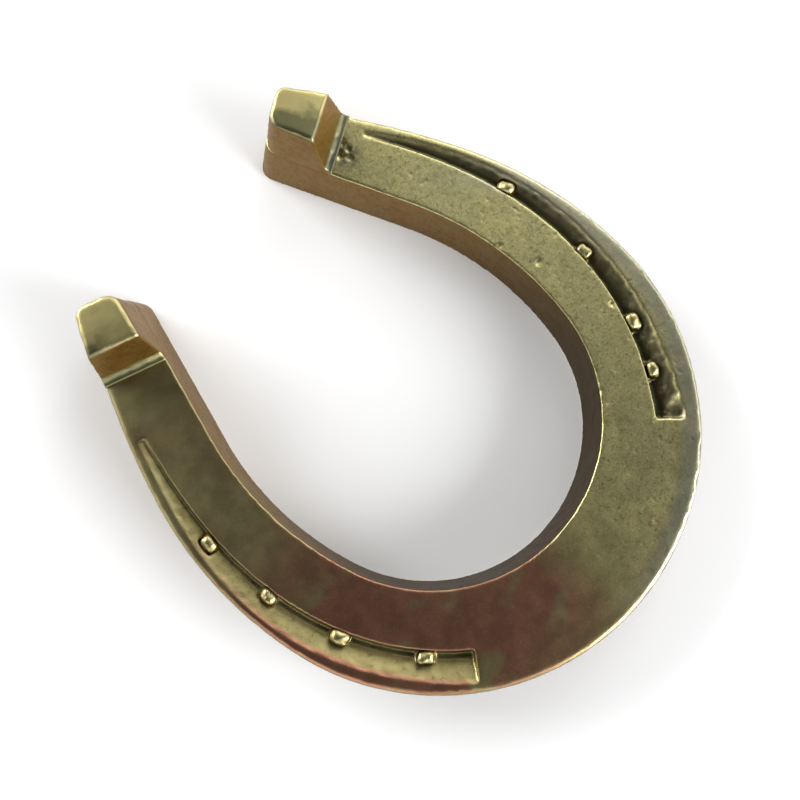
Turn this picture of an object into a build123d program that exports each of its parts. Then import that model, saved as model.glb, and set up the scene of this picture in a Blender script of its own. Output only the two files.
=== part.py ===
"""Brass horseshoe with two heel calks and eight nails.

Axes: +X across the shoe, +Y towards the heels, +Z out of the ground face.
Origin: middle of the bounding box, on the flat hoof face.  All sizes in mm.
"""
from build123d import *
from math import cos, radians, sin
import os

# Bar of the shoe
length = 125.2
bar_thickness = 13.6
toe_y = -length / 2
toe_web = 21.2              # width of the bar at the toe, on the ground face
edge_round = 1.3            # worn outer edge of the ground face

# Outer outline from the toe: two tangent arcs and a flatter run to the heel
toe_radius_outer = 54.1
toe_sweep_outer = 82.8
quarter_radius_outer = 84.0
quarter_sweep_outer = 27.2
heel_radius_outer = 166.0
heel_sweep_outer = 20.0

# Opening, on the ground face: two tangent arcs and a straight run
toe_radius_inner = 35.1
toe_sweep_inner = 76.0
quarter_radius_inner = 69.0
quarter_sweep_inner = 33.7
opening_run = 40.0          # straight run, cut off by the heel ends
inner_draft = 5.0           # degrees, opening gets wider towards the ground

# Heels: end face and calk lie square to the branch, distances run along it
heel_angle = 24.0           # turn of the heel line about Z
heel_end = 45.95            # end face, on the hoof face
heel_end_lean = 9.5         # degrees, end face leans in towards the ground
heel_outer_corner = 2.2
heel_inner_corner = 3.2

# Calks
calk_height = 12.2
calk_foot = 29.9
calk_ramp_angle = 79.0
calk_lip = 0.4
calk_cove = 1.8
calk_crown = 0.5            # rise of the domed top
calk_overrun = 4.0          # stock cut away again at the heel end
calk_draft = 6.5
calk_edge_round = 1.0
calk_shank_radius = 2.6
calk_shank_length = 8.0
calk_shank_at = (27.3, 52.6)    # plan position on the +X branch
socket_relief = 0.5

# Creases, one entry per station from the toe end to the tip:
# (direction of the outline in degrees, distance from the outer edge, width, depth)
crease_right = (
    (41.0, 3.2, 6.4, 2.7),
    (62.0, 4.9, 5.1, 2.6),
    (84.0, 4.0, 4.4, 2.3),
    (103.0, 2.1, 3.8, 1.7),
    (117.8, 2.6, 1.2, 0.4),
)
crease_left = (
    (41.6, 1.8, 6.8, 2.7),
    (61.0, 2.7, 6.1, 2.6),
    (80.0, 2.1, 6.0, 2.4),
    (97.0, 1.6, 4.9, 1.8),
    (114.7, 1.9, 1.8, 0.5),
)
crease_clearance = 1.0
floor_start = 0.72          # share of the crease width taken by its outer slope
floor_end = 0.92

# Nails: direction of the outline at each nail
nails_right = (54.0, 67.5, 87.0, 102.5)
nails_left = (53.5, 75.0, 90.0, 101.5)
nail_shank = (2.6, 1.8)     # along and across the crease
nail_throat_depth = 6.5     # from the ground face to the foot of the head
nail_neck_depth = 2.2
nail_neck = (3.6, 2.8)
nail_head = (3.2, 2.4)
nail_proud = 0.2
nail_crown_round = 1.0
nail_mouth = (3.8, 2.9)       # punched hole around the head


def outline_point(heading, inset):
    """Plan point where the outer outline runs at this heading, moved inwards."""
    x, y, turned = 0.0, toe_y, 0.0
    arcs = (
        (toe_radius_outer, toe_sweep_outer),
        (quarter_radius_outer, quarter_sweep_outer),
        (heel_radius_outer, heel_sweep_outer),
    )
    for radius, sweep in arcs:
        centre_x = x - radius * sin(radians(turned))
        centre_y = y + radius * cos(radians(turned))
        turned = min(turned + sweep, heading)
        x = centre_x + radius * sin(radians(turned))
        y = centre_y - radius * cos(radians(turned))
    return x - inset * sin(radians(turned)), y + inset * cos(radians(turned))


def section_plane(heading, inset, height):
    """Plane across the branch: local X outwards, local Y up."""
    x, y = outline_point(heading, inset)
    outwards = (sin(radians(heading)), -cos(radians(heading)), 0)
    back = (-cos(radians(heading)), -sin(radians(heading)), 0)
    return Plane(origin=(x, y, height), x_dir=outwards, z_dir=back)


def crease_cutter(stations):
    """Tapering groove with a long outer slope and a steep inner wall."""
    with BuildPart() as groove:
        for heading, inset, width, depth in stations:
            with BuildSketch(section_plane(heading, inset, bar_thickness)):
                with BuildLine():
                    Polyline(
                        (0, crease_clearance),
                        (0, 0),
                        (-floor_start * width, -depth),
                        (-floor_end * width, -depth),
                        (-width, 0),
                        (-width, crease_clearance),
                        close=True,
                    )
                make_face()
        loft()
    return groove.part


def crease_size(stations, heading):
    """Distance from the edge and width of the crease at a heading between stations."""
    for before, after in zip(stations, stations[1:]):
        if before[0] <= heading <= after[0]:
            share = (heading - before[0]) / (after[0] - before[0])
            inset = before[1] + share * (after[1] - before[1])
            width = before[2] + share * (after[2] - before[2])
            return inset, width
    raise ValueError("heading outside the crease")


def nail_location(stations, heading):
    """Middle of a nail on the hoof face: local X across the crease, local Y along."""
    inset, width = crease_size(stations, heading)
    x, y = outline_point(heading, inset + width - nail_mouth[1] / 2)
    return Location((x, y, 0), (0, 0, heading - 90))


def tapered_stack(levels):
    """Solid through a pile of rectangles, each one (along, across, height)."""
    with BuildPart() as stack:
        for lower, upper in zip(levels, levels[1:]):
            for along, across, height in (lower, upper):
                with BuildSketch(Plane.XY.offset(height)):
                    Rectangle(across, along)
            loft(ruled=True)
    return stack.part


def heel_plane(distance, lean):
    """Plane across the +X heel, facing the heel end and leaning back by `lean` degrees."""
    along = Vector(-sin(radians(heel_angle)), cos(radians(heel_angle)), 0)
    normal = along * cos(radians(lean)) + Vector(0, 0, sin(radians(lean)))
    return Plane(origin=along * distance, z_dir=normal)


def heel_corners(builder):
    """Edges standing at the end of the +X heel, inner one first."""

    def stands(edge):
        box = edge.bounding_box()
        return box.min.Y > heel_end and box.size.Z > calk_height - 2 * calk_crown

    return builder.edges().filter_by(stands).sort_by(Axis.X)


def mirrored(part):
    """Twin of a +X part on the -X branch."""
    return mirror(part, about=Plane.YZ, mode=Mode.PRIVATE)


# Half of the outer outline, run on past the heel
with BuildSketch() as half_outline:
    with BuildLine():
        toe = JernArc((0, toe_y), (1, 0), toe_radius_outer, toe_sweep_outer)
        quarter = JernArc(toe @ 1, toe % 1, quarter_radius_outer, quarter_sweep_outer)
        heel = JernArc(quarter @ 1, quarter % 1, heel_radius_outer, heel_sweep_outer)
        Line(heel @ 1, (0, (heel @ 1).Y))
        Line((0, (heel @ 1).Y), (0, toe_y))
    make_face()

with BuildSketch(Plane.XY.offset(bar_thickness)) as opening:
    with BuildLine():
        toe = JernArc((0, toe_y + toe_web), (1, 0), toe_radius_inner, toe_sweep_inner)
        quarter = JernArc(toe @ 1, toe % 1, quarter_radius_inner, quarter_sweep_inner)
        heel = PolarLine(quarter @ 1, opening_run, direction=quarter % 1)
        Line(heel @ 1, (0, (heel @ 1).Y))
        Line((0, (heel @ 1).Y), (0, toe_y + toe_web))
    make_face()
    mirror(about=Plane.YZ)

# Everything the opening takes out of the bar and of the calks
with BuildPart() as opening_cutter:
    add(opening.sketch)
    extrude(amount=-bar_thickness - 1, taper=inner_draft)
    add(opening.sketch)
    extrude(amount=calk_height + 2, taper=-inner_draft)

# Square-edged stock under the +X calk
with BuildPart() as heel_seat:
    add(half_outline.sketch)
    extrude(amount=bar_thickness)
    split(bisect_by=heel_plane(calk_foot - calk_cove, 0), keep=Keep.TOP)

# Side view plane of the +X heel: local X along the branch, local Y up
heel_side = Plane(
    origin=(0, 0, 0),
    x_dir=(-sin(radians(heel_angle)), cos(radians(heel_angle)), 0),
    z_dir=(cos(radians(heel_angle)), sin(radians(heel_angle)), 0),
)
lip_top = bar_thickness + calk_lip
shank_x, shank_y = calk_shank_at

groove_right = crease_cutter(crease_right)
groove_left = crease_cutter(crease_left)

throat = bar_thickness - nail_throat_depth
neck = bar_thickness - nail_neck_depth
crown = bar_thickness + nail_proud
nail_blank = tapered_stack(
    (nail_shank + (0,), nail_shank + (throat,), nail_neck + (neck,), nail_head + (crown,))
)
nail_hole = tapered_stack(
    (
        nail_shank + (0,),
        nail_shank + (throat,),
        nail_mouth + (neck,),
        nail_mouth + (bar_thickness,),
    )
)
with BuildPart() as nail_model:
    add(nail_blank)
    fillet(nail_model.faces().sort_by(Axis.Z)[-1].edges(), radius=nail_crown_round)

right_spots = [nail_location(crease_right, heading) for heading in nails_right]
left_spots = [nail_location(crease_left, heading) for heading in nails_left]

with BuildPart() as shoe_bar:
    # The +X half first
    add(half_outline.sketch)
    extrude(amount=bar_thickness)
    outer_rim = shoe_bar.faces().sort_by(Axis.Z)[-1].edges().filter_by(GeomType.CIRCLE)
    fillet(outer_rim, radius=edge_round)
    add(heel_seat.part)
    add(opening_cutter.part, mode=Mode.SUBTRACT)
    split(bisect_by=heel_plane(heel_end, heel_end_lean), keep=Keep.BOTTOM)
    fillet(heel_corners(shoe_bar)[-1], radius=heel_outer_corner)
    fillet(heel_corners(shoe_bar)[0], radius=heel_inner_corner)
    mirror(about=Plane.YZ)
    # Features that differ between the branches
    add(groove_right, mode=Mode.SUBTRACT)
    add(mirrored(groove_left), mode=Mode.SUBTRACT)
    with Locations(*right_spots):
        add(nail_hole, mode=Mode.SUBTRACT)
    for spot in left_spots:
        add(mirrored(nail_hole.moved(spot)), mode=Mode.SUBTRACT)
    with Locations(*[(side * shank_x, shank_y, bar_thickness) for side in (1, -1)]):
        Cylinder(
            calk_shank_radius,
            calk_shank_length + socket_relief,
            align=(Align.CENTER, Align.CENTER, Align.MAX),
            mode=Mode.SUBTRACT,
        )

with BuildPart() as calk_right:
    # Side view of the heel: local X along the branch, local Y up
    with BuildSketch(heel_side):
        with BuildLine():
            lip = Line((calk_foot - calk_cove, bar_thickness), (calk_foot - calk_cove, lip_top))
            cove = JernArc(lip @ 1, (1, 0), calk_cove, calk_ramp_angle)
            ramp = PolarLine(
                cove @ 1,
                calk_height - calk_crown - (cove @ 1).Y + bar_thickness,
                direction=cove % 1,
                length_mode=LengthMode.VERTICAL,
            )
            crown_end = (heel_end + calk_overrun, (ramp @ 1).Y)
            SagittaArc(ramp @ 1, crown_end, calk_crown)
            Polyline(crown_end, (crown_end[0], bar_thickness), lip @ 0)
        make_face()
    extrude(amount=length)
    add(half_outline.sketch.moved(Location((0, 0, bar_thickness))))
    extrude(amount=calk_height + 1, taper=calk_draft, mode=Mode.INTERSECT)
    add(opening_cutter.part, mode=Mode.SUBTRACT)
    split(bisect_by=heel_plane(heel_end, heel_end_lean), keep=Keep.BOTTOM)
    fillet(heel_corners(calk_right)[0], radius=heel_inner_corner)
    fillet(heel_corners(calk_right)[-1], radius=heel_outer_corner)
    fillet(calk_right.faces().sort_by(Axis.Z)[-1].edges(), radius=calk_edge_round)
    with Locations((shank_x, shank_y, bar_thickness)):
        Cylinder(
            calk_shank_radius,
            calk_shank_length,
            align=(Align.CENTER, Align.CENTER, Align.MAX),
        )

with BuildPart() as calk_left:
    add(mirrored(calk_right.part))

shoe_bar.part.label = "shoe_bar"
calk_right.part.label = "heel_calk_right"
calk_left.part.label = "heel_calk_left"
pieces = [shoe_bar.part, calk_right.part, calk_left.part]

for number, spot in enumerate(right_spots, start=1):
    with BuildPart() as nail_right:
        with Locations(spot):
            add(nail_model.part)
    nail_right.part.label = f"nail_right_{number}"
    pieces.append(nail_right.part)

for number, spot in enumerate(left_spots, start=1):
    with BuildPart() as nail_left:
        add(mirrored(nail_model.part.moved(spot)))
    nail_left.part.label = f"nail_left_{number}"
    pieces.append(nail_left.part)

os.makedirs("parts", exist_ok=True)
for piece in pieces:
    export_step(piece, f"parts/{piece.label}.step")
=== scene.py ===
import math

import bmesh
import bpy
import numpy as np
from mathutils import Matrix, Vector


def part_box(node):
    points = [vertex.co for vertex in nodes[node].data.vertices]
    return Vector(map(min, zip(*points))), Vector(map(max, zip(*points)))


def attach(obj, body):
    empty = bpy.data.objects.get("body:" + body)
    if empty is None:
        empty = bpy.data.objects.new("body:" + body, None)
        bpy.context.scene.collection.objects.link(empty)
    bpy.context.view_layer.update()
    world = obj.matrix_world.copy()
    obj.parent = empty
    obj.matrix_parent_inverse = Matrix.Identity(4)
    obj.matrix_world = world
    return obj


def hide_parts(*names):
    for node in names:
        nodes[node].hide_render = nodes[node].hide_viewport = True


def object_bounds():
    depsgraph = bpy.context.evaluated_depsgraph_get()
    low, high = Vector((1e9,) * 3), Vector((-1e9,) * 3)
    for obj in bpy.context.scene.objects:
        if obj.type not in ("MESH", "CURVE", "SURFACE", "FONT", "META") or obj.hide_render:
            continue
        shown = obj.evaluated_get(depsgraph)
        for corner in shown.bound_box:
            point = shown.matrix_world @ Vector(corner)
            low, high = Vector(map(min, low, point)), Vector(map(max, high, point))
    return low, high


# Brass horseshoe, ground face up: +X across the shoe, +Y from the toe to the heels.
# Lengths are in metres, written as millimetres times MM.

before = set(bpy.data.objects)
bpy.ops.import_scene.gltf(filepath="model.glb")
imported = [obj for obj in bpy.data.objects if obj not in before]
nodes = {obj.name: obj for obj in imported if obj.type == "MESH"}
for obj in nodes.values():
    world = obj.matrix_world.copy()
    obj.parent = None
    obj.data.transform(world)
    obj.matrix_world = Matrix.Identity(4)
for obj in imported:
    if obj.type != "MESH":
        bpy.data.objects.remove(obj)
cad_low, cad_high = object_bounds()
MM = 0.001

# Places taken from the frame
bar_low, bar_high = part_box("shoe_bar")
FACE = bar_high[2]                  # ground face of the bar
CALK_TOP = cad_high[2]
OUTER_RADIUS = (bar_high[0] - bar_low[0]) / 2
ARC_Y = bar_low[1] + OUTER_RADIUS   # middle of the toe arc
HEEL_TURN = math.radians(24)        # turn of each heel line about Z
CALK_START = 29 * MM                # foot of the calks along that line
CALK_MIDDLE = (31 * MM, 53 * MM)    # middle of the +X calk's top
CALK_ROOT = 1.4 * MM                # how far the calk walls run down the bar
PLUG_DEPTH = 1.9 * MM               # top of the plugs in the nail holes, under the face
SAME_HEIGHT = 0.02 * MM             # vertices this close to the face lie on it

# Fineness of the detailed meshes
BAR_VOXEL = 0.30 * MM
CALK_VOXEL = 0.26 * MM
NAIL_VOXEL = 0.16 * MM
BAR_EASE = 4                        # rounds of smoothing that ease the edges
CALK_EASE = 3
NAIL_EASE = 2
HEAD_STEPS = 110                    # rounds of softening on each nail head

# Waviness of all the metal: (width of a wave, height, seed)
WAVES = ((13 * MM, 0.040 * MM, 3), (4.2 * MM, 0.010 * MM, 5), (1.4 * MM, 0.006 * MM, 7))
NOISE_SHIFT = 500.0                 # cells, keeps the noise clear of its origin

# Rough crease floors: (width, height, seed)
CREASE_LUMPS = ((1.9 * MM, 0.14 * MM, 11), (0.8 * MM, 0.05 * MM, 13))
INNER_RAGGED = 0.08 * MM            # unevenness of the edges round the opening
OUTER_RAGGED = 0.02 * MM            # and of the outer rim
PIT_DEPTH = 0.10 * MM
GRAIN_HEIGHT = 0.012 * MM
RIM_TUCK = 0.12 * MM                # bar rim drawn in under the calks
ROOT_TUCK = 0.14 * MM               # foot of the calk root drawn into the bar

# Larger casting pits, four at the foot of the +X ramp and four along that branch:
# (x, y, radius, depth) in mm
PITS = (
    (32.7, 45.2, 1.2, 0.45),
    (30.4, 43.8, 1.4, 0.55),
    (31.2, 41.8, 1.0, 0.40),
    (32.4, 43.2, 0.8, 0.35),
    (36.7, 5.4, 0.9, 0.30),
    (42.3, -20.3, 1.0, 0.35),
    (39.3, -3.0, 1.1, 0.30),
    (26.3, -29.7, 0.9, 0.25),
)
TARNISH_SPOT = (31.2 * MM, 43.6 * MM)

# Nails, +X branch first, number 1 nearest the toe
NAILS = ["nail_%s_%d" % (side, number) for side in ("right", "left") for number in (1, 2, 3, 4)]
# Swell of each worn head in mm; the ones at the toe ends are hammered flatter
HEADS = (0.00, 0.25, 0.10, 0.15, 0.00, 0.30, 0.15, 0.10)
HEAD_LUMP = 0.32 * MM
HEAD_SEED = 40

# Colours
TOP_GOLD = (0.62, 0.56, 0.25)
TOP_OLIVE = (0.55, 0.51, 0.24)
TOP_DULL = (0.30, 0.27, 0.12)
GRAIN_DARK = (0.20, 0.17, 0.08)
GRAIN_LIGHT = (0.85, 0.80, 0.48)
LEFT_BROWN = (0.32, 0.24, 0.12)
LEFT_OLIVE = (0.40, 0.345, 0.165)
# Painted red reflection on the -X branch
MAROON_REFLECTION = (0.36, 0.145, 0.10)
RIM_GREY = (0.37, 0.37, 0.32)
# Crease floors: painted shade (dark, +X branch) and painted reflection (yellow, -X branch)
CREASE_SHADE = (0.15, 0.135, 0.072)
CREASE_REFLECTION = (0.275, 0.235, 0.10)
CREASE_SPOT = (0.12, 0.09, 0.04)
TARNISH = (0.13, 0.15, 0.11)
# Calk tops: a painted reflection, bright on one side and dark on the other; then edge and foot
# colours
CALK_REFLECTION_BRIGHT = (0.76, 0.66, 0.29)
CALK_REFLECTION_DARK = (0.27, 0.26, 0.125)
CALK_EDGE = (0.16, 0.15, 0.10)
CALK_FOOT = (0.135, 0.14, 0.095)
NAIL_LIGHT = (0.50, 0.44, 0.22)
NAIL_DARK = (0.36, 0.31, 0.14)
WALL_BROWN = (0.205, 0.105, 0.022)
WALL_TAN = (0.215, 0.135, 0.038)
# Dark for specks, and for painted shade towards the toe
WALL_DARK = (0.028, 0.017, 0.005)
FLOOR_WHITE = (0.93, 0.93, 0.93)

# Studio
FLOOR_SIZE = 3.0
FLOOR_GAP = 0.2 * MM                # floor lies this far under the hoof face
FLOOR_ROUGHNESS = 0.95
SKY_LOW = 1.6                       # radiance at the horizon
SKY_HIGH = 0.02                     # and overhead
SKY_TURN = (0.25, 0.72)             # heights of the sky between which it falls off
SKY_TILT = 0.50                     # brighter towards +X by this share
LAMP_DISTANCE = 1.1

# Lamps: (name, heading in degrees from +X, elevation in degrees, size, radiance)
LAMPS = (
    ("key", 20, 50, 0.6, 1.2),
    ("crease_light", 15, 24, 0.5, 2.0),
    ("toe_light", -80, 18, 0.7, 12.0),
    ("heel_fill", 100, 22, 0.7, 8.0),
    ("left_fill", 200, 20, 0.7, 1.5),
)

# Camera
CAMERA_AT = Vector((-0.0237, -0.0136, 0.1990))
LOOK_AT = Vector((0.0, 0.0015, 0.0))
CAMERA_TURN = math.radians(39.9)    # plan direction of the picture's up
LENS = 41.3
SENSOR = 36.0
NEAR = 0.01


# ---------------------------------------------------------------- noise
def hashed(cells, seed):
    """Repeatable numbers from -1 to 1, one for each whole-number cell."""
    x, y, z = (cells[:, i].astype(np.int64) for i in range(3))
    h = (x * 73856093) ^ (y * 19349663) ^ (z * 83492791) ^ (seed * 2654435761)
    h = (h ^ (h >> 13)) * 1274126177
    h = (h ^ (h >> 16)) & 0xFFFFFF
    return h / 0x7FFFFF - 1.0


def value_noise(points, cell, seed):
    """Smooth noise from -1 to 1 with features about one cell wide."""
    p = points / cell + NOISE_SHIFT
    low = np.floor(p)
    t = p - low
    t = t * t * (3 - 2 * t)
    total = np.zeros(len(points))
    for corner in range(8):
        step = np.array([corner & 1, corner >> 1 & 1, corner >> 2 & 1])
        weight = np.prod(np.where(step, t, 1 - t), axis=1)
        total += weight * hashed(low + step, seed)
    return total


def smoothstep(low, high, x):
    """0 at low, 1 at high, eased; low may be the larger."""
    t = np.clip((x - low) / (high - low), 0.0, 1.0)
    return t * t * (3 - 2 * t)


# ---------------------------------------------------------------- meshes
def add_plugs(mesh):
    """Low plugs close the punched holes under the nail heads."""
    joined = bmesh.new()
    joined.from_mesh(mesh)
    for nail in NAILS:
        start = len(joined.verts)
        joined.from_mesh(nodes[nail].data)
        joined.verts.ensure_lookup_table()
        for vertex in joined.verts[start:]:
            vertex.co.z = min(vertex.co.z, FACE - PLUG_DEPTH)
    joined.to_mesh(mesh)
    joined.free()


def lower_root(mesh):
    """Run the walls of a calk down over the rim of the bar."""
    for vertex in mesh.vertices:
        if abs(vertex.co.z - FACE) < SAME_HEIGHT:
            vertex.co.z -= CALK_ROOT


def dense_copy(node, name, voxel, rounds, prepare=None):
    """Even quad mesh over a CAD node, with its sharp edges eased."""
    source = nodes[node].copy()
    source.data = nodes[node].data.copy()
    bpy.context.scene.collection.objects.link(source)
    source.parent = None
    if prepare:
        prepare(source.data)
    remesh = source.modifiers.new("remesh", "REMESH")
    remesh.mode = "VOXEL"
    remesh.voxel_size = voxel
    remesh.use_smooth_shade = True
    ease = source.modifiers.new("ease", "SMOOTH")
    ease.factor = 0.5
    ease.iterations = rounds
    graph = bpy.context.evaluated_depsgraph_get()
    mesh = bpy.data.meshes.new_from_object(source.evaluated_get(graph))
    mesh.name = name
    bpy.data.objects.remove(source)
    piece = bpy.data.objects.new(name, mesh)
    bpy.context.scene.collection.objects.link(piece)
    mesh.materials.clear()
    return piece


def read_mesh(piece):
    """Vertex positions and normals, one row each."""
    count = len(piece.data.vertices)
    points = np.zeros(count * 3, np.float32)
    normals = np.zeros(count * 3, np.float32)
    piece.data.vertices.foreach_get("co", points)
    piece.data.vertices.foreach_get("normal", normals)
    return points.reshape(-1, 3).astype(float), normals.reshape(-1, 3).astype(float)


def write_mesh(piece, points):
    piece.data.vertices.foreach_set("co", points.astype(np.float32).ravel())
    piece.data.update()
    piece.data.shade_smooth()


def level(normals):
    """Normals with their upright part taken away."""
    return normals * np.array([1, 1, 0])


def pit(points, middle, radius, depth):
    """Inward push of one round pit."""
    away = np.linalg.norm(points - np.array(middle), axis=1) / radius
    return -depth * (1 - smoothstep(0.0, 1.0, away))


def cast_skin(points):
    """Gentle waviness of cast and hand-dressed metal."""
    return sum(height * value_noise(points, width, seed) for width, height, seed in WAVES)


def finish_bar(piece):
    """Rough creases, ragged edges, pits and grain on the bar."""
    points, normals = read_mesh(piece)
    x, y, z = points.T
    tilt = np.abs(normals[:, 2])
    ground = smoothstep(FACE - 0.25 * MM, FACE - 0.05 * MM, z)
    hoof = 1 - smoothstep(0.1 * MM, 0.6 * MM, z)
    up = smoothstep(0.15, 0.6, normals[:, 2])
    in_crease = smoothstep(-3.2 * MM, -2.9 * MM, z - FACE) * (1 - ground) * up
    right_branch = smoothstep(-4 * MM, 4 * MM, x)
    push = cast_skin(points)
    # Crease floors, roughest towards the toe end on the +X branch
    toe_end = 1 - smoothstep(-18 * MM, 12 * MM, y)
    rough = (0.35 + 0.65 * toe_end * right_branch) * in_crease
    for width, height, seed in CREASE_LUMPS:
        push += rough * height * value_noise(points, width, seed)
    # Ragged edges where a face turns over
    turning = smoothstep(0.2, 0.55, tilt) * (1 - smoothstep(0.8, 0.97, tilt))
    ragged = turning * smoothstep(FACE - 1.6 * MM, FACE - 0.4 * MM, z)
    outwards = (normals[:, 0] * x + normals[:, 1] * (y - ARC_Y)) > 0
    height = np.where(outwards, OUTER_RAGGED, INNER_RAGGED)
    push += ragged * height * value_noise(points, 1.3 * MM, 17)
    # Walls
    wall = (1 - tilt) * (1 - hoof)
    push += wall * 0.035 * MM * value_noise(points, 1.7 * MM, 19)
    # Scattered pits and grain in the ground face, mostly on the +X branch
    speck = smoothstep(0.78, 0.95, value_noise(points, 1.05 * MM, 23))
    push -= ground * (0.1 + 0.9 * right_branch) * PIT_DEPTH * speck
    fine = value_noise(points, 0.55 * MM, 29)
    push += ground * (0.3 + 0.7 * right_branch) * GRAIN_HEIGHT * fine
    # The rim under each calk is drawn in, so the calk's wall covers it
    along = y * math.cos(HEEL_TURN) - np.abs(x) * math.sin(HEEL_TURN)
    under_calk = (along > CALK_START) * smoothstep(FACE - 1.3 * MM, FACE - 0.5 * MM, z)
    points = points - level(normals) * (under_calk * RIM_TUCK)[:, None]
    for pit_x, pit_y, radius, depth in PITS:
        push += pit(points, (pit_x * MM, pit_y * MM, FACE), radius * MM, depth * MM)
    write_mesh(piece, points + normals * push[:, None])


def finish_calk(piece):
    """Uneven edges and walls on a calk, and a root drawn into the bar."""
    points, normals = read_mesh(piece)
    push = cast_skin(points)
    above = smoothstep(FACE, FACE + 1.0 * MM, points[:, 2])
    tilt = np.abs(normals[:, 2])
    turning = smoothstep(0.2, 0.5, tilt) * (1 - smoothstep(0.8, 0.97, tilt)) * above
    push += turning * 0.10 * MM * value_noise(points, 1.2 * MM, 31)
    push += above * (1 - tilt) * 0.05 * MM * value_noise(points, 1.6 * MM, 37)
    points = points + normals * (push * above)[:, None]
    root = smoothstep(FACE - 0.7 * MM, FACE - 1.3 * MM, points[:, 2])
    write_mesh(piece, points - level(normals) * (root * ROOT_TUCK)[:, None])


def soften(piece, points, share, steps):
    """Pull every vertex towards its neighbours, as far as `share` says."""
    ends = np.zeros(len(piece.data.edges) * 2, np.int32)
    piece.data.edges.foreach_get("vertices", ends)
    first, second = ends.reshape(-1, 2).T
    count = np.bincount(ends, minlength=len(points))
    for _ in range(steps):
        for axis in range(3):
            total = np.bincount(first, points[second, axis], len(points))
            total += np.bincount(second, points[first, axis], len(points))
            points[:, axis] += share * 0.5 * (total / count - points[:, axis])
    return points


def finish_nail(piece, seed, swell):
    """Turn the square head into a worn lump."""
    points, normals = read_mesh(piece)
    head = smoothstep(FACE - 3.2 * MM, FACE - 2.0 * MM, points[:, 2])
    write_mesh(piece, soften(piece, points, head, HEAD_STEPS))
    points, normals = read_mesh(piece)
    push = swell + HEAD_LUMP * value_noise(points, 1.7 * MM, seed)
    push += 0.05 * MM * value_noise(points, 0.7 * MM, seed + 1)
    write_mesh(piece, points + normals * (head * push)[:, None])


# ---------------------------------------------------------------- materials
class Brass:
    """Node tree of one brass material, with the masks that its parts share."""

    def __init__(self, name):
        self.material = bpy.data.materials.new(name)
        self.material.use_nodes = True
        self.tree = self.material.node_tree
        self.shader = self.tree.nodes["Principled BSDF"]
        self.place = self.tree.nodes.new("ShaderNodeTexCoord").outputs["Object"]
        geometry = self.tree.nodes.new("ShaderNodeNewGeometry")
        self.x, self.y, self.z = self.axes(self.place)
        self.up = self.axes(geometry.outputs["Normal"])[2]
        self.right = self.ramp(self.x, -12 * MM, 16 * MM)
        self.broad = self.noise(16 * MM, 2)
        self.blotch = self.noise(4 * MM, 4, offset=(0.3, 0.1, 0.2))
        self.grain = self.noise(0.42 * MM, 4, offset=(0.7, 0.4, 0.1), rough=0.65)
        self.reach = self.distance(0.0, ARC_Y)

    def put(self, socket, value):
        if isinstance(value, bpy.types.NodeSocket):
            self.tree.links.new(value, socket)
        else:
            socket.default_value = value

    def math(self, kind, a, b=0.0):
        node = self.tree.nodes.new("ShaderNodeMath")
        node.operation = kind
        self.put(node.inputs[0], a)
        self.put(node.inputs[1], b)
        return node.outputs[0]

    def times(self, first, *others):
        for other in others:
            first = self.math("MULTIPLY", first, other)
        return first

    def plus(self, a, b):
        return self.math("ADD", a, b)

    def minus(self, a, b):
        return self.math("SUBTRACT", a, b)

    def distance(self, x, y):
        """Distance in plan from a point."""
        dx = self.minus(self.x, x)
        dy = self.minus(self.y, y)
        return self.math("SQRT", self.plus(self.times(dx, dx), self.times(dy, dy)))

    def axes(self, socket):
        node = self.tree.nodes.new("ShaderNodeSeparateXYZ")
        self.put(node.inputs[0], socket)
        return node.outputs

    def noise(self, size, detail, offset=(0, 0, 0), rough=0.55):
        """Noise from 0 to 1, features about `size` wide."""
        mapping = self.tree.nodes.new("ShaderNodeMapping")
        mapping.inputs["Location"].default_value = offset
        self.put(mapping.inputs["Vector"], self.place)
        node = self.tree.nodes.new("ShaderNodeTexNoise")
        node.inputs["Scale"].default_value = 1.0 / size
        node.inputs["Detail"].default_value = detail
        node.inputs["Roughness"].default_value = rough
        self.put(node.inputs["Vector"], mapping.outputs[0])
        return node.outputs["Fac"]

    def ramp(self, value, low, high):
        """0 at low, 1 at high, eased; low may be the larger."""
        node = self.tree.nodes.new("ShaderNodeMapRange")
        node.interpolation_type = "SMOOTHSTEP"
        self.put(node.inputs["Value"], value)
        node.inputs["From Min"].default_value = min(low, high)
        node.inputs["From Max"].default_value = max(low, high)
        if low > high:
            node.inputs["To Min"].default_value = 1.0
            node.inputs["To Max"].default_value = 0.0
        return node.outputs["Result"]

    def mix(self, factor, a, b):
        node = self.tree.nodes.new("ShaderNodeMix")
        node.data_type = "RGBA"
        self.put(node.inputs["Factor"], factor)
        for name, colour in (("A", a), ("B", b)):
            socket = [s for s in node.inputs if s.name == name and s.type == "RGBA"][0]
            is_socket = isinstance(colour, bpy.types.NodeSocket)
            self.put(socket, colour if is_socket else (*colour, 1))
        return [s for s in node.outputs if s.type == "RGBA"][0]


def left_branch(b, face):
    """Browner -X branch, with a painted red reflection along its lower half."""
    brown = b.mix(b.ramp(b.broad, 0.35, 0.65), LEFT_BROWN, LEFT_OLIVE)
    face = b.mix(b.times(b.minus(1.0, b.right), 0.9), face, brown)
    red_reflection_patches = b.noise(9 * MM, 2, offset=(0.11, 0.52, 0.3))
    heelward = b.ramp(b.y, 12 * MM, -14 * MM)
    toeward = b.ramp(b.y, -64 * MM, -48 * MM)
    left = b.ramp(b.x, -2 * MM, -12 * MM)
    # Painted red reflection, in patches over the lower half of the -X branch
    painted_red_reflection = b.times(heelward, toeward, left, b.ramp(red_reflection_patches, 0.24, 0.46))
    return b.mix(b.times(painted_red_reflection, 0.8), face, MAROON_REFLECTION)


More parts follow.
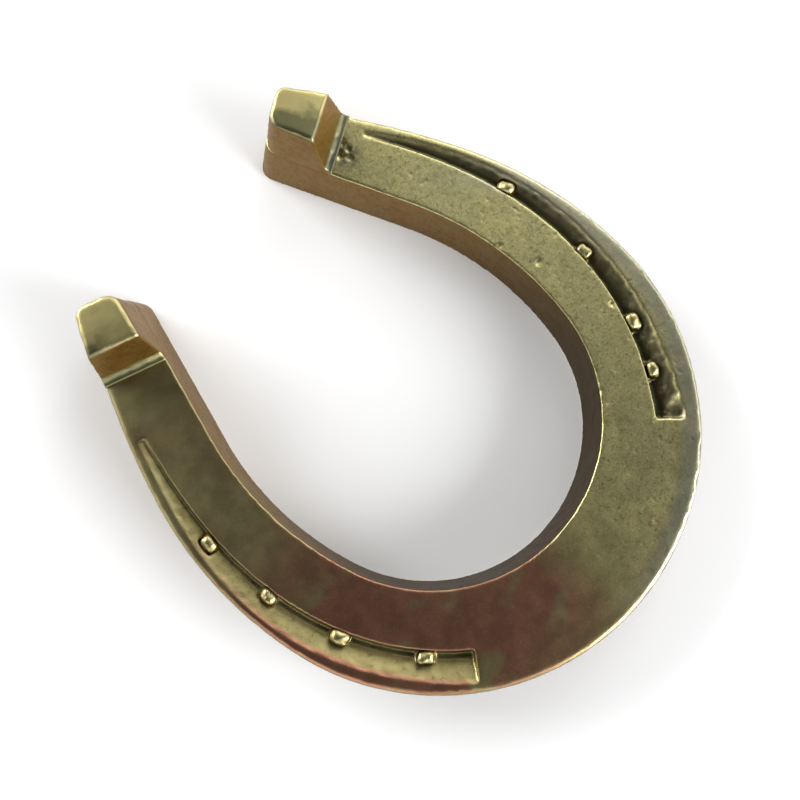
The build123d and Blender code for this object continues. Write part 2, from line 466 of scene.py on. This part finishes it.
def ground_face(b):
    """Worn brass of the faces that look up, with a painted red reflection on the -X branch."""
    patch = b.plus(b.times(b.broad, 0.7), b.times(b.blotch, 0.3))
    face = b.mix(b.ramp(patch, 0.35, 0.65), TOP_OLIVE, TOP_GOLD)
    coarse = b.noise(1.5 * MM, 4, offset=(0.15, 0.85, 0.55), rough=0.7)
    face = b.mix(b.times(b.ramp(coarse, 0.50, 0.66), 0.5), face, TOP_DULL)
    face = left_branch(b, face)
    sandy = b.plus(0.18, b.times(b.right, 0.75))
    face = b.mix(b.times(b.ramp(b.grain, 0.54, 0.70), sandy), face, GRAIN_DARK)
    face = b.mix(b.times(b.ramp(b.grain, 0.46, 0.32), sandy, 0.6), face, GRAIN_LIGHT)
    # Greyer lip outside the +X crease
    outer = b.ramp(b.reach, OUTER_RADIUS - 5.5 * MM, OUTER_RADIUS - 2.5 * MM)
    lip = b.times(outer, b.right, b.ramp(b.y, 30 * MM, 8 * MM))
    return b.mix(b.times(lip, 0.6), face, RIM_GREY)


def crease_floor(b, spots):
    """Painted light in the creases: a yellow painted reflection on the -X branch, painted shade
    on the +X branch, with dark spots.
    """
    crease_light_and_spots = b.mix(b.right, CREASE_REFLECTION, CREASE_SHADE)
    return b.mix(b.times(b.ramp(spots, 0.55, 0.72), 0.55), crease_light_and_spots, CREASE_SPOT)


def bar_face(b, face, crease_light_and_spots, spots):
    """Creases filled with their painted reflection and shade, and tarnish in the pits at the
    foot of the +X ramp.
    """
    depth = b.ramp(b.z, FACE - 0.2 * MM, FACE - 0.7 * MM)
    face = b.mix(b.times(depth, b.ramp(b.up, 0.15, 0.5)), face, crease_light_and_spots)
    near = b.ramp(b.distance(*TARNISH_SPOT), 5.2 * MM, 1.5 * MM)
    tarnish = b.times(near, b.ramp(spots, 0.38, 0.58))
    return b.mix(b.times(tarnish, 0.85), face, TARNISH)


def calk_face(b):
    """Domed top with a painted reflection, bright gold on one side of a slanting line and
    darker on the other, with dark edges and a grey foot.
    """
    # Painted reflection across the top: the slanting line between the bright and dark sides
    # wanders with noise
    reflection_wobble = b.noise(5 * MM, 3, offset=(0.5, 0.35, 0.6))
    side = b.minus(b.times(b.right, 2.0), 1.0)
    dx = b.minus(b.x, b.times(side, CALK_MIDDLE[0]))
    dy = b.minus(b.y, CALK_MIDDLE[1])
    shade = b.plus(b.times(dx, 0.76), b.times(dy, 0.63))
    shade = b.plus(shade, b.times(b.minus(reflection_wobble, 0.5), 8 * MM))
    face = b.mix(b.ramp(shade, -4.0 * MM, -1.0 * MM), CALK_REFLECTION_DARK, CALK_REFLECTION_BRIGHT)
    high = b.ramp(b.z, CALK_TOP - 3 * MM, CALK_TOP - 2 * MM)
    edge = b.times(b.ramp(b.up, 0.97, 0.85), high)
    face = b.mix(b.times(edge, 0.6), face, CALK_EDGE)
    low = b.ramp(b.z, FACE + 3.5 * MM, FACE + 1.5 * MM)
    foot = b.times(low, b.plus(0.35, b.times(b.right, 0.55)))
    return b.mix(foot, face, CALK_FOOT)


def nail_face(b):
    return b.mix(b.ramp(b.grain, 0.4, 0.6), NAIL_LIGHT, NAIL_DARK)


def upright_walls(b):
    """Warm brown walls, with painted shade darkening them towards the toe."""
    wall = b.mix(b.ramp(b.noise(5 * MM, 5, rough=0.7), 0.35, 0.65), WALL_BROWN, WALL_TAN)
    wall = b.mix(b.times(b.ramp(b.y, 22 * MM, -34 * MM), 0.85), wall, WALL_DARK)
    speck = b.noise(0.9 * MM, 5, offset=(0.6, 0.2, 0.2), rough=0.75)
    return b.mix(b.times(b.ramp(speck, 0.50, 0.66), 0.5), wall, WALL_DARK)


def bar_walls(b, wall, crease_light_and_spots):
    """The steep inner walls of the creases carry the painted reflection and shade of their
    floors.
    """
    inner = b.ramp(b.reach, 40.5 * MM, 42.5 * MM)
    outer = b.ramp(b.reach, 52.0 * MM, 51.0 * MM)
    toeward = b.ramp(b.y, 20 * MM, 5 * MM)
    shallow = b.ramp(b.z, FACE - 5 * MM, FACE - 4 * MM)
    return b.mix(b.times(inner, outer, toeward, shallow), wall, crease_light_and_spots)


def make_brass(name, kind):
    """Brass for the bar, the calks or the nails."""
    b = Brass(name)
    wall = upright_walls(b)
    if kind == "bar":
        spots = b.noise(1.3 * MM, 4, offset=(0.2, 0.9, 0.4))
        crease_light_and_spots = crease_floor(b, spots)
        face = bar_face(b, ground_face(b), crease_light_and_spots, spots)
        wall = bar_walls(b, wall, crease_light_and_spots)
    elif kind == "calk":
        face = calk_face(b)
    else:
        face = nail_face(b)
    steep = b.ramp(b.up, 0.62, 0.30)
    colour = b.mix(steep, face, wall)
    underside = b.mix(b.blotch, TOP_OLIVE, TOP_GOLD)
    colour = b.mix(b.ramp(b.up, -0.5, -0.8), colour, underside)
    b.put(b.shader.inputs["Base Color"], colour)
    b.shader.inputs["Metallic"].default_value = 1.0
    rough = b.plus(0.36, b.times(b.ramp(b.blotch, 0.3, 0.7), 0.04))
    rough = b.plus(rough, b.times(steep, 0.12))
    b.put(b.shader.inputs["Roughness"], rough)
    bump = b.tree.nodes.new("ShaderNodeBump")
    bump.inputs["Strength"].default_value = 0.55
    bump.inputs["Distance"].default_value = 0.05 * MM
    b.put(bump.inputs["Height"], b.plus(b.grain, b.times(b.blotch, 0.3)))
    b.put(b.shader.inputs["Normal"], bump.outputs["Normal"])
    return b.material


# ---------------------------------------------------------------- pieces
def place(piece, node, material):
    """Hand a finished piece to the frame in place of its CAD node."""
    piece.data.materials.append(material)
    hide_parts(node)
    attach(piece, "root")


def make_bar():
    voxel = BAR_VOXEL
    bar = dense_copy("shoe_bar", "bar_skin", voxel, BAR_EASE, prepare=add_plugs)
    finish_bar(bar)
    place(bar, "shoe_bar", make_brass("bar_brass", "bar"))


def make_calks():
    brass = make_brass("calk_brass", "calk")
    for side in ("right", "left"):
        node = "heel_calk_" + side
        calk = dense_copy(node, "calk_skin_" + side, CALK_VOXEL, CALK_EASE, prepare=lower_root)
        finish_calk(calk)
        place(calk, node, brass)


def make_nails():
    brass = make_brass("nail_brass", "nail")
    for number, (node, swell) in enumerate(zip(NAILS, HEADS)):
        nail = dense_copy(node, node + "_skin", NAIL_VOXEL, NAIL_EASE)
        finish_nail(nail, HEAD_SEED + 2 * number, swell * MM)
        place(nail, node, brass)


# ---------------------------------------------------------------- studio
def make_floor():
    bpy.ops.mesh.primitive_plane_add(size=FLOOR_SIZE, location=(0, 0, -FLOOR_GAP))
    floor = bpy.context.object
    floor.name = "floor"
    material = bpy.data.materials.new("pale_floor")
    material.use_nodes = True
    shader = material.node_tree.nodes["Principled BSDF"]
    shader.inputs["Base Color"].default_value = (*FLOOR_WHITE, 1)
    shader.inputs["Roughness"].default_value = FLOOR_ROUGHNESS
    floor.data.materials.append(material)


def make_sky():
    """Bright low down and dark overhead, a little brighter towards +X."""
    world = bpy.data.worlds.new("studio")
    bpy.context.scene.world = world
    world.use_nodes = True
    tree = world.node_tree
    background = tree.nodes["Background"]
    background.inputs["Color"].default_value = (1, 1, 1, 1)
    heading = tree.nodes.new("ShaderNodeSeparateXYZ")
    place_in_sky = tree.nodes.new("ShaderNodeTexCoord").outputs["Generated"]
    tree.links.new(place_in_sky, heading.inputs[0])
    climb = tree.nodes.new("ShaderNodeMapRange")
    climb.interpolation_type = "SMOOTHSTEP"
    climb.inputs["From Min"].default_value = SKY_TURN[0]
    climb.inputs["From Max"].default_value = SKY_TURN[1]
    climb.inputs["To Min"].default_value = SKY_LOW
    climb.inputs["To Max"].default_value = SKY_HIGH
    tree.links.new(heading.outputs["Z"], climb.inputs["Value"])
    across = tree.nodes.new("ShaderNodeMath")
    across.operation = "MULTIPLY_ADD"
    across.inputs[1].default_value = SKY_TILT
    across.inputs[2].default_value = 1.0
    tree.links.new(heading.outputs["X"], across.inputs[0])
    glow = tree.nodes.new("ShaderNodeMath")
    glow.operation = "MULTIPLY"
    tree.links.new(climb.outputs["Result"], glow.inputs[0])
    tree.links.new(across.outputs[0], glow.inputs[1])
    tree.links.new(glow.outputs[0], background.inputs["Strength"])


def make_lamp(name, heading, elevation, size, radiance):
    """Square soft lamp aimed at the shoe."""
    data = bpy.data.lights.new(name, "AREA")
    data.shape = "SQUARE"
    data.size = size
    data.energy = radiance * math.pi * size * size
    lamp = bpy.data.objects.new(name, data)
    bpy.context.scene.collection.objects.link(lamp)
    out = math.cos(math.radians(elevation)) * LAMP_DISTANCE
    lamp.location = (
        out * math.cos(math.radians(heading)),
        out * math.sin(math.radians(heading)),
        math.sin(math.radians(elevation)) * LAMP_DISTANCE,
    )
    aim = -Vector(lamp.location)
    lamp.rotation_euler = aim.to_track_quat("-Z", "Y").to_euler()


def make_camera():
    data = bpy.data.cameras.new("camera")
    data.lens = LENS
    data.sensor_width = SENSOR
    data.clip_start = NEAR
    camera = bpy.data.objects.new("camera", data)
    bpy.context.scene.collection.objects.link(camera)
    back = (CAMERA_AT - LOOK_AT).normalized()
    level_up = Vector((math.cos(CAMERA_TURN), math.sin(CAMERA_TURN), 0))
    right = level_up.cross(back).normalized()
    turn = Matrix((right, back.cross(right), back)).transposed().to_4x4()
    camera.matrix_world = Matrix.Translation(CAMERA_AT) @ turn
    bpy.context.scene.camera = camera


make_bar()
make_calks()
make_nails()
make_floor()
make_sky()
for lamp in LAMPS:
    make_lamp(*lamp)
make_camera()
bpy.context.scene.view_settings.view_transform = "Standard"
